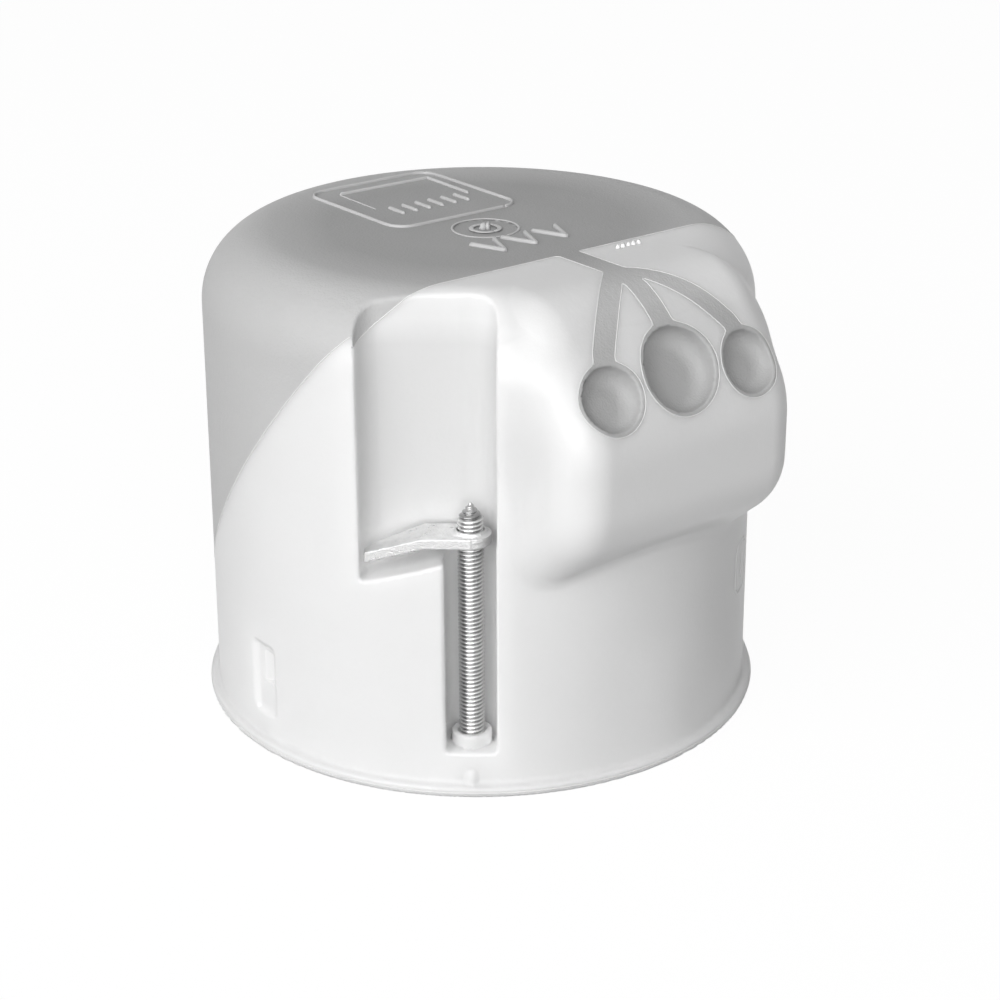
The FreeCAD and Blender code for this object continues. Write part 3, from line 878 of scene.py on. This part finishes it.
sign = [flat_line(rounded_frame((-23.0, -9.5), (-3.2, 9.0), 2.5))]
sign.append(flat_line([(-20.4, -6.2), (-20.1, 7.2), (-11.0, 6.9)]))
sign.append(flat_line([(-20.4, -6.2), (-12.3, -6.4)], 0.12, 0.1))
for number in range(6):
    bar_y = -4.9 + number * 1.98
    sign.append(flat_line([(-11.7, bar_y), (-8.3, bar_y)], 0.27))
for middle_y in (-5.0, -0.4, 4.2):
    sign.append(flat_line([(7.1, middle_y - 1.8), (11.6, middle_y), (7.1, middle_y + 1.8)], 0.3, 0.42))
back_sign = add_lines("back_sign", sign + gate_marks())
dots = [flat_line([(18.5, y), (19.0, y + 0.1)], 0.4 + 0.08 * math.sin(4 * y), 0.5)
        for y in (5.9, 6.7, 7.5, 8.3, 9.1)]
small_dots = add_lines("small_dots", dots)

# %% [markdown]
# The claw is stamped from 1.25 mm steel: a flat hub, and an arm bent down at its end. Stamping leaves a
# rounded rim, a sharp crease at the bend and a collar pulled up round the hole.
# A small field with fine cells gives all of that in one closed mesh.

# %% Stamped claws
CLAW_THICKNESS = 1.25
CLAW_TOP = 31.8
CLAW_HUB_RADIUS = 2.4
CLAW_BEND_AT = 5.3
CLAW_FALL = 2.5 / 6.8
CLAW_BORE = 1.53
CLAW_RING_RADIUS = 2.05
CLAW_REACH = 12.1
CLAW_CELL = 0.1
CLAW_OUTLINE = [(2.4, 0.0), (2.4, -5.3), (0.6, -12.0), (0.3, -12.1),
                (-0.75, -12.1), (-1.6, -11.2), (-2.4, -5.3), (-2.4, 0.0)]


def claw_field(x, y, z, azimuth):
    """One stamped claw round its screw's axis."""
    outwards, along = claw_frame(x, y, azimuth)
    hub = np.hypot(outwards, along)
    plan = round_union(hub - CLAW_HUB_RADIUS, polygon_gap(outwards, along, CLAW_OUTLINE), 0.4)
    past = -along - CLAW_BEND_AT
    drop = CLAW_FALL * (past + np.hypot(past, 0.07)) / 2
    plate = np.abs(z - CLAW_TOP + CLAW_THICKNESS / 2 + drop) - CLAW_THICKNESS / 2
    solid = round_common(plan, plate, 0.16)
    cone = (hub - CLAW_RING_RADIUS) * 0.8 + (z - CLAW_TOP) * 0.6
    ring = np.maximum(cone, np.abs(z - CLAW_TOP) - 0.4)
    return round_common(round_union(solid, ring, 0.2), CLAW_BORE - hub, 0.08)


def add_claw(name, node, azimuth):
    """One claw as a piece in the place of its node."""
    turn = math.radians(azimuth)
    centre = np.array((math.cos(turn) * CLAW_AXIS_RADIUS, math.sin(turn) * CLAW_AXIS_RADIUS, CLAW_TOP))
    tip = centre + np.array((math.sin(turn), -math.cos(turn), 0)) * CLAW_REACH
    low = np.minimum(centre, tip) - (3.2, 3.2, 4.6)
    high = np.maximum(centre, tip) + (3.2, 3.2, 1.0)

    def field(x, y, z):
        return claw_field(x, y, z, azimuth)

    points, quads = mesh_of_field(field, tuple(low), tuple(high), CLAW_CELL)
    mesh = mesh_from(name, points, quads)
    smooth_by_field(mesh, field)
    piece = add_piece(name, mesh, node)
    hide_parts(node)
    print(name, len(quads), "quads")
    return piece


claws = [add_claw("stamped_claw_" + letter, "claw_" + letter, azimuth)
         for letter, azimuth in zip("ab", CLAW_AZIMUTHS)]

# %% [markdown]
# A screw thread is a grid wrapped round an axis: its radius depends on the height plus a share of the turn,
# so that one turn climbs one pitch. The point is the same thread inside a cone. Each head is a small field
# with a cross recess; head and thread together are one piece.

# %% Threaded screws
PITCH = 0.5
THREAD_DEPTH = 0.33
THREAD_SIDES = 36
ROWS_PER_PITCH = 8
SCREW_SEAT = 2.85
CROSS_HALF_LENGTH = 1.5
CROSS_HALF_WIDTH = 0.36
CROSS_DEPTH = 1.1
HEAD_CELL = 0.14
TIP_RADIUS = 0.12


def thread_rows(centre, crest, low, high, point_length):
    """Points and quads of a threaded shank, which ends in a cone if it has a point."""
    heights = np.arange(low, high + 1e-6, PITCH / ROWS_PER_PITCH)
    turns = np.arange(THREAD_SIDES) / THREAD_SIDES
    phase = (heights[:, None] / PITCH - turns[None, :]) % 1.0
    share = np.clip(np.abs(phase * 2 - 1) * 1.15 - 0.05, 0, 1)
    limit = np.full(len(heights), crest)
    if point_length:
        limit = np.minimum(crest, TIP_RADIUS + (high - heights) * (crest - TIP_RADIUS) / point_length)
    radius = limit[:, None] - THREAD_DEPTH * (1 - share) * np.minimum(limit / crest * 1.3, 1)[:, None]
    angle = turns * math.tau
    x = centre[0] + radius * np.cos(angle)
    y = centre[1] + radius * np.sin(angle)
    z = np.broadcast_to(heights[:, None], x.shape)
    points = np.stack([x, y, z], 2).reshape(-1, 3)
    return points, tube_faces(len(heights), THREAD_SIDES)


def head_field(x, y, z, centre, radius, height):
    """A pan head with a cross recess, seen from the flange's side."""
    across, along = x - centre[0], y - centre[1]
    front = SCREW_SEAT - height
    disc = round_common(np.hypot(across, along) - radius, np.abs(z - front - height / 2) - height / 2, 0.5)
    narrow = CROSS_HALF_WIDTH - 0.12 * np.clip((z - front) / CROSS_DEPTH, 0, 1)
    one = np.maximum(np.abs(across) - CROSS_HALF_LENGTH, np.abs(along) - narrow)
    two = np.maximum(np.abs(along) - CROSS_HALF_LENGTH, np.abs(across) - narrow)
    cross = np.maximum(np.minimum(one, two), z - front - CROSS_DEPTH)
    return round_common(disc, -cross, 0.06)


def add_screw(name, node, centre, head_radius, head_height, crest, end_z, point_length):
    """One screw as a piece in the place of its node."""

    def field(x, y, z):
        return head_field(x, y, z, centre, head_radius, head_height)

    reach = head_radius + 0.6
    low = (centre[0] - reach, centre[1] - reach, SCREW_SEAT - head_height - 0.6)
    high = (centre[0] + reach, centre[1] + reach, SCREW_SEAT + 0.6)
    head = mesh_of_field(field, low, high, HEAD_CELL)
    thread = thread_rows(centre, crest, SCREW_SEAT - 0.2, end_z, point_length)
    points, faces = joined([head, thread])
    mesh = mesh_from(name, points, faces)
    mesh.shade_smooth()
    piece = add_piece(name, mesh, node)
    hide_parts(node)
    print(name, len(faces), "faces")
    return piece


screws = []
for letter, azimuth in zip("ab", CLAW_AZIMUTHS):
    turn = math.radians(azimuth)
    centre = (CLAW_AXIS_RADIUS * math.cos(turn), CLAW_AXIS_RADIUS * math.sin(turn))
    node = "claw_screw_" + letter
    screws.append(add_screw("long_screw_" + letter, node, centre, 2.5, 2.1, 1.5, 35.4, 1.8))
for letter, side_sign in (("a", -1), ("b", 1)):
    centre = (0.0, side_sign * SCREW_CIRCLE)
    node = "device_screw_" + letter
    screws.append(add_screw("short_screw_" + letter, node, centre, 2.75, 1.85, 1.3, 13.5, 0))

# %% [markdown]
# Moulded plastic has a fine grain from the eroded mould, and slow changes in tone where the plastic flowed.
# Painted shade darkens the grooves of the threads, and a painted shade makes the thick flat back darker than the
# thin wall.
# Each effect is a node group with its own inputs, so several materials can share it.

# %% Shared groups for grain, slow drift and shade


def new_group(name, inputs, outputs):
    """An empty shader group with named sockets."""
    group = bpy.data.node_groups.new(name, "ShaderNodeTree")
    for label, kind, value in inputs:
        socket = group.interface.new_socket(label, in_out="INPUT", socket_type=kind)
        socket.default_value = value
    for label, kind in outputs:
        group.interface.new_socket(label, in_out="OUTPUT", socket_type=kind)
    return group, group.nodes.new("NodeGroupInput"), group.nodes.new("NodeGroupOutput")


def math_node(tree, operation, first, second=None):
    """A maths node whose inputs are sockets or numbers."""
    node = tree.nodes.new("ShaderNodeMath")
    node.operation = operation
    for socket, value in zip(node.inputs, (first, second)):
        if value is None:
            continue
        if isinstance(value, (int, float)):
            socket.default_value = value
        else:
            tree.links.new(value, socket)
    return node.outputs[0]


def noise_node(tree, scale, detail):
    """A noise texture over the object's own coordinates."""
    place = tree.nodes.new("ShaderNodeTexCoord")
    noise = tree.nodes.new("ShaderNodeTexNoise")
    noise.inputs["Detail"].default_value = detail
    tree.links.new(place.outputs["Object"], noise.inputs["Vector"])
    if isinstance(scale, (int, float)):
        noise.inputs["Scale"].default_value = scale
    else:
        tree.links.new(scale, noise.inputs["Scale"])
    return noise.outputs["Fac"]


def make_grain_group():
    """Fine pits and bumps: a height from two noises, one coarse and one fine."""
    group, entry, leave = new_group(
        "moulded_grain",
        [("Scale", "NodeSocketFloat", 2500.0), ("Fineness", "NodeSocketFloat", 0.5)],
        [("Height", "NodeSocketFloat")],
    )
    coarse = noise_node(group, entry.outputs["Scale"], 3.0)
    finer = math_node(group, "MULTIPLY", entry.outputs["Scale"], 2.7)
    fine = noise_node(group, finer, 2.0)
    weighted = math_node(group, "MULTIPLY", fine, entry.outputs["Fineness"])
    group.links.new(math_node(group, "ADD", coarse, weighted), leave.inputs["Height"])
    return group


def make_drift_group():
    """Slow changes over the surface: a colour made lighter and darker, and a roughness between two values."""
    group, entry, leave = new_group(
        "slow_drift",
        [
            ("Scale", "NodeSocketFloat", 60.0),
            ("Dark Colour", "NodeSocketColor", (0.5, 0.5, 0.5, 1)),
            ("Light Colour", "NodeSocketColor", (0.6, 0.6, 0.6, 1)),
            ("Low Roughness", "NodeSocketFloat", 0.3),
            ("High Roughness", "NodeSocketFloat", 0.5),
        ],
        [("Colour", "NodeSocketColor"), ("Roughness", "NodeSocketFloat")],
    )
    slow = noise_node(group, entry.outputs["Scale"], 4.0)
    stretch = group.nodes.new("ShaderNodeMapRange")
    stretch.inputs["From Min"].default_value = 0.3
    stretch.inputs["From Max"].default_value = 0.7
    group.links.new(slow, stretch.inputs["Value"])
    blend = group.nodes.new("ShaderNodeMix")
    blend.data_type = "RGBA"
    group.links.new(stretch.outputs[0], blend.inputs["Factor"])
    group.links.new(entry.outputs["Dark Colour"], blend.inputs["A"])
    group.links.new(entry.outputs["Light Colour"], blend.inputs["B"])
    spread = math_node(group, "SUBTRACT", entry.outputs["High Roughness"], entry.outputs["Low Roughness"])
    raised = math_node(group, "MULTIPLY", spread, stretch.outputs[0])
    group.links.new(math_node(group, "ADD", entry.outputs["Low Roughness"], raised), leave.inputs["Roughness"])
    group.links.new(blend.outputs["Result"], leave.inputs["Colour"])
    return group


def stretched(tree, value, low, high):
    """A value brought from a range to 0 to 1, where the range's ends are numbers or sockets."""
    stretch = tree.nodes.new("ShaderNodeMapRange")
    for label, end in (("From Min", low), ("From Max", high)):
        if isinstance(end, (int, float)):
            stretch.inputs[label].default_value = end
        else:
            tree.links.new(end, stretch.inputs[label])
    tree.links.new(value, stretch.inputs["Value"])
    return stretch.outputs[0]


def make_reach_group():
    """How far a point lies from an upright axis: 0 within one radius, 1 beyond another or above a height."""
    group, entry, leave = new_group(
        "reach_from_axis",
        [
            ("Axis X", "NodeSocketFloat", 0.0),
            ("Axis Y", "NodeSocketFloat", 0.03),
            ("Core", "NodeSocketFloat", 0.0012),
            ("Crest", "NodeSocketFloat", 0.0015),
            ("Clean Above", "NodeSocketFloat", 0.03),
        ],
        [("Mask", "NodeSocketFloat")],
    )
    place = group.nodes.new("ShaderNodeTexCoord")
    apart = group.nodes.new("ShaderNodeSeparateXYZ")
    group.links.new(place.outputs["Object"], apart.inputs[0])
    squares = []
    for axis in ("X", "Y"):
        size = math_node(group, "ABSOLUTE", apart.outputs[axis])
        gap = math_node(group, "SUBTRACT", size, entry.outputs["Axis " + axis])
        squares.append(math_node(group, "POWER", gap, 2.0))
    distance = math_node(group, "SQRT", math_node(group, "ADD", squares[0], squares[1]))
    rise = stretched(group, distance, entry.outputs["Core"], entry.outputs["Crest"])
    over = math_node(group, "SUBTRACT", apart.outputs["Z"], entry.outputs["Clean Above"])
    plain_mask = stretched(group, over, 0.0, 0.003)
    group.links.new(math_node(group, "MAXIMUM", rise, plain_mask), leave.inputs["Mask"])
    return group


def make_upward_group():
    """1 where the surface faces up, 0 where it leans away by more than a given amount."""
    group, entry, leave = new_group(
        "facing_up",
        [("Start", "NodeSocketFloat", 0.85), ("End", "NodeSocketFloat", 1.0)],
        [("Mask", "NodeSocketFloat")],
    )
    place = group.nodes.new("ShaderNodeTexCoord")
    apart = group.nodes.new("ShaderNodeSeparateXYZ")
    group.links.new(place.outputs["Normal"], apart.inputs[0])
    mask = stretched(group, apart.outputs["Z"], entry.outputs["Start"], entry.outputs["End"])
    group.links.new(mask, leave.inputs["Mask"])
    return group


grain_group = make_grain_group()
drift_group = make_drift_group()
reach_group = make_reach_group()
upward_group = make_upward_group()
print("groups:", [group.name for group in bpy.data.node_groups])

# %% [markdown]
# The finishes are a satin white plastic, a duller grey soft plastic with a coarser grain, and bright zinc.
# Each takes colour and roughness from the drift group and its bump from the grain group. The white plastic lets
# some light in, which softens its shade; its raised edges get a darker tone as painted shade, its small dots a
# brighter one as a painted highlight, and the soft plastic's raised marks a lighter tone.

# %% The finishes of the real surfaces


def group_node(tree, group, **values):
    """A group placed in a material, with its inputs set."""
    node = tree.nodes.new("ShaderNodeGroup")
    node.node_tree = group
    for label, value in values.items():
        node.inputs[label.replace("_", " ")].default_value = value
    return node


def grey(value):
    """A neutral colour."""
    return (value, value, value, 1)


def finish(name, tones, roughness, drift_scale, grain_scale, grain_depth, fineness=0.5):
    """A material with drifting tone and roughness and a fine grain."""
    material = bpy.data.materials.new(name)
    material.use_nodes = True
    tree = material.node_tree
    shader = tree.nodes["Principled BSDF"]
    drift = group_node(tree, drift_group, Scale=drift_scale, Dark_Colour=grey(tones[0]),
                       Light_Colour=grey(tones[1]), Low_Roughness=roughness[0], High_Roughness=roughness[1])
    grain = group_node(tree, grain_group, Scale=grain_scale, Fineness=fineness)
    bump = tree.nodes.new("ShaderNodeBump")
    bump.inputs["Distance"].default_value = grain_depth
    tree.links.new(grain.outputs["Height"], bump.inputs["Height"])
    tree.links.new(drift.outputs["Colour"], shader.inputs["Base Color"])
    tree.links.new(drift.outputs["Roughness"], shader.inputs["Roughness"])
    tree.links.new(bump.outputs["Normal"], shader.inputs["Normal"])
    return material


def retone(material, mask, tone):
    """Mixes another tone into a material's colour where a mask is low."""
    tree = material.node_tree
    colour = tree.nodes["Principled BSDF"].inputs["Base Color"]
    blend = tree.nodes.new("ShaderNodeMix")
    blend.data_type = "RGBA"
    tree.links.new(mask, blend.inputs["Factor"])
    blend.inputs["A"].default_value = grey(tone)
    tree.links.new(colour.links[0].from_socket, blend.inputs["B"])
    tree.links.new(blend.outputs["Result"], colour)


def screw_finish(name, axis_x, axis_y, core, crest, plain_above):
    """Bright zinc with painted shade in the grooves round one pair of screw axes."""
    material = finish(name, (0.74, 0.88), (0.15, 0.25), 500.0, 3000.0, 0.00001)
    # Painted shade darkens the grooves between the thread's crests.
    groove_shade = group_node(material.node_tree, reach_group, Axis_X=axis_x, Axis_Y=axis_y, Core=core, Crest=crest,
                        Clean_Above=plain_above)
    retone(material, groove_shade.outputs["Mask"], 0.22)
    return material


# %% [markdown]
# The hard shell is a satin white that lets some light in. The claw's pocket lies deeper than the wall and gets
# a painted shade, a darker tone, while the narrow channel below it gets painted light, a brighter tone. Both are
# found by their distance from the box's axis, and each row of the table gives that distance, the height above
# which it fades, and the tone.

# %% White plastic
white_plastic = finish("white_plastic", (0.87, 0.89), (0.34, 0.42), 55.0, 900.0, 0.00002)
WALL_REACH = 0.0333
# Painted shade darkens the claw's pocket, and painted light brightens the channel below it.
for core, above, tone in ((0.0318, 0.053, 0.74), (0.0315, 0.0285, 0.97)):
    recess = group_node(white_plastic.node_tree, reach_group, Axis_X=0.0, Axis_Y=0.0, Core=core, Crest=WALL_REACH,
                        Clean_Above=above)
    retone(white_plastic, recess.outputs["Mask"], tone)
white_shader = white_plastic.node_tree.nodes["Principled BSDF"]
white_shader.inputs["Subsurface Weight"].default_value = 0.65
white_shader.inputs["Subsurface Radius"].default_value = (1.0, 1.0, 1.0)
white_shader.inputs["Subsurface Scale"].default_value = 0.004
# The beads get a darker copy of the white as painted shade.
shaded_edge = finish("shaded_moulded_edge", (0.76, 0.8), (0.4, 0.5), 55.0, 900.0, 0.00001)
# The small dots get a brighter copy of the white as a painted highlight.
polished_highlight_dots = finish("polished_highlight_dots", (0.94, 0.97), (0.2, 0.3), 55.0, 900.0, 0.00001)

# %% [markdown]
# The soft plastic is grey with a coarser grain. It is thin on the side wall, where the white behind it shows
# through, and thick on the flat back and in the cups, which get a painted shade: a darker tone. Its raised marks
# have brighter tops.

# %% Soft grey plastic
BACK_SHADE_TONE = 0.34
CUP_SHADE_TONE = 0.45
CUP_SHADE_FROM_X = 0.031
CUP_SHADE_FULL_X = 0.034
grey_soft = finish("grey_soft_plastic", (0.51, 0.54), (0.46, 0.58), 70.0, 1500.0, 0.00006, 0.8)
# Painted shade: the flat back is darker than the thin side wall.
back = group_node(grey_soft.node_tree, reach_group, Axis_X=0.0, Axis_Y=0.0, Core=0.018, Crest=0.029,
                  Clean_Above=0.07)
retone(grey_soft, back.outputs["Mask"], BACK_SHADE_TONE)
# Painted shade: the soft plastic in and round the cups, far out on the bulge, is darker.
place = grey_soft.node_tree.nodes.new("ShaderNodeTexCoord")
apart = grey_soft.node_tree.nodes.new("ShaderNodeSeparateXYZ")
grey_soft.node_tree.links.new(place.outputs["Object"], apart.inputs[0])
retone(grey_soft, stretched(grey_soft.node_tree, apart.outputs["X"], CUP_SHADE_FULL_X, CUP_SHADE_FROM_X), CUP_SHADE_TONE)
raised_soft = finish("raised_soft_edge", (0.52, 0.6), (0.4, 0.5), 70.0, 1500.0, 0.00002)

# %% [markdown]
# Claws and screws are zinc plated steel. A claw's colour is darker on every face that does not face up, its
# sheared sides and its underside alike, and the grooves between a screw's crests get a painted shade.

# %% Zinc
claw_zinc = finish("claw_zinc", (0.8, 0.95), (0.26, 0.38), 900.0, 4500.0, 0.00009, 0.7)
# Faces that do not face up, the sheared sides and the underside, get a darker tone.
flat_zinc = group_node(claw_zinc.node_tree, upward_group, Start=0.35, End=0.75)
retone(claw_zinc, flat_zinc.outputs["Mask"], 0.6)
long_zinc = screw_finish("long_screw_zinc", 0.023346, 0.019314, 0.00118, 0.00142, 0.0335)
short_zinc = screw_finish("short_screw_zinc", 0.0, 0.03, 0.00098, 0.00122, 0.02)
for metal in (claw_zinc, long_zinc, short_zinc):
    metal.node_tree.nodes["Principled BSDF"].inputs["Metallic"].default_value = 1.0

# %% Put the finishes on the pieces
hard_skin.data.materials.append(white_plastic)
small_dots.data.materials.append(polished_highlight_dots)
seam_bead.data.materials.append(shaded_edge)
soft_skin.data.materials.append(grey_soft)
back_sign.data.materials.append(raised_soft)
for piece in claws:
    piece.data.materials.append(claw_zinc)
for piece, metal in zip(screws, (long_zinc, long_zinc, short_zinc, short_zinc)):
    piece.data.materials.append(metal)
print("materials:", [material.name for material in bpy.data.materials])

# %% [markdown]
# The box stands on a plain white floor. The floor and the sky show as white to the camera and in reflections
# through Light Path, while the light that falls on the box stays at a plain level.

# %% Floor and sky
def show_instead(tree, lit, shown, output, most):
    """Lets the camera and reflections see one shader, while light comes from the other."""
    rays = tree.nodes.new("ShaderNodeLightPath")
    seen = math_node(tree, "MAXIMUM", rays.outputs["Is Camera Ray"], rays.outputs["Is Glossy Ray"])
    mix = tree.nodes.new("ShaderNodeMixShader")
    tree.links.new(math_node(tree, "MULTIPLY", seen, most), mix.inputs[0])
    tree.links.new(lit.outputs[0], mix.inputs[1])
    tree.links.new(shown.outputs[0], mix.inputs[2])
    tree.links.new(mix.outputs[0], output.inputs["Surface"])


bpy.ops.mesh.primitive_plane_add(size=4)
floor = bpy.context.object
floor.name = "floor"
floor_material = bpy.data.materials.new("floor_paper")
floor_material.use_nodes = True
tree = floor_material.node_tree
paper = tree.nodes["Principled BSDF"]
paper.inputs["Base Color"].default_value = grey(0.38)
paper.inputs["Roughness"].default_value = 0.9
glow = tree.nodes.new("ShaderNodeEmission")
glow.inputs["Strength"].default_value = 1.12
show_instead(tree, paper, glow, tree.nodes["Material Output"], 0.85)
floor.data.materials.append(floor_material)

world = bpy.data.worlds.new("studio")
world.use_nodes = True
bpy.context.scene.world = world
sky = world.node_tree
light_sky = sky.nodes["Background"]
light_sky.inputs["Color"].default_value = grey(1.0)
light_sky.inputs["Strength"].default_value = 0.175
white_sky = sky.nodes.new("ShaderNodeBackground")
white_sky.inputs["Strength"].default_value = 1.05
show_instead(sky, light_sky, white_sky, sky.nodes["World Output"], 1.0)

# %% [markdown]
# Two large soft lamps stand at the left and near the camera, so the left of the box is the brightest and the
# far right falls off, as in the photograph; a weak third one lights the back. A lamp's power follows from the
# level wanted on a facing surface.

# %% Lamps


LAMP_DISTANCE = 0.9
LAMP_SIZE = 0.7
LAMP_AIM = Vector((0, 0, 0.03))


def add_lamp(name, azimuth, rise, level):
    """A soft square lamp that faces the box and lights a facing white surface to a level."""
    turn, up = math.radians(azimuth), math.radians(rise)
    away = Vector((math.cos(turn) * math.cos(up), math.sin(turn) * math.cos(up), math.sin(up)))
    data = bpy.data.lights.new(name, "AREA")
    data.shape = "SQUARE"
    data.size = LAMP_SIZE
    data.energy = level * (math.pi * LAMP_DISTANCE) ** 2
    lamp = bpy.data.objects.new(name, data)
    lamp.location = LAMP_AIM + away * LAMP_DISTANCE
    lamp.rotation_mode = "QUATERNION"
    lamp.rotation_quaternion = away.to_track_quat("Z", "Y")
    bpy.context.scene.collection.objects.link(lamp)
    return lamp


add_lamp("key", -80, 30, 0.58)
add_lamp("fill", -42, 18, 0.57)
add_lamp("top", 120, 75, 0.12)
bpy.context.scene.view_settings.view_transform = "Standard"
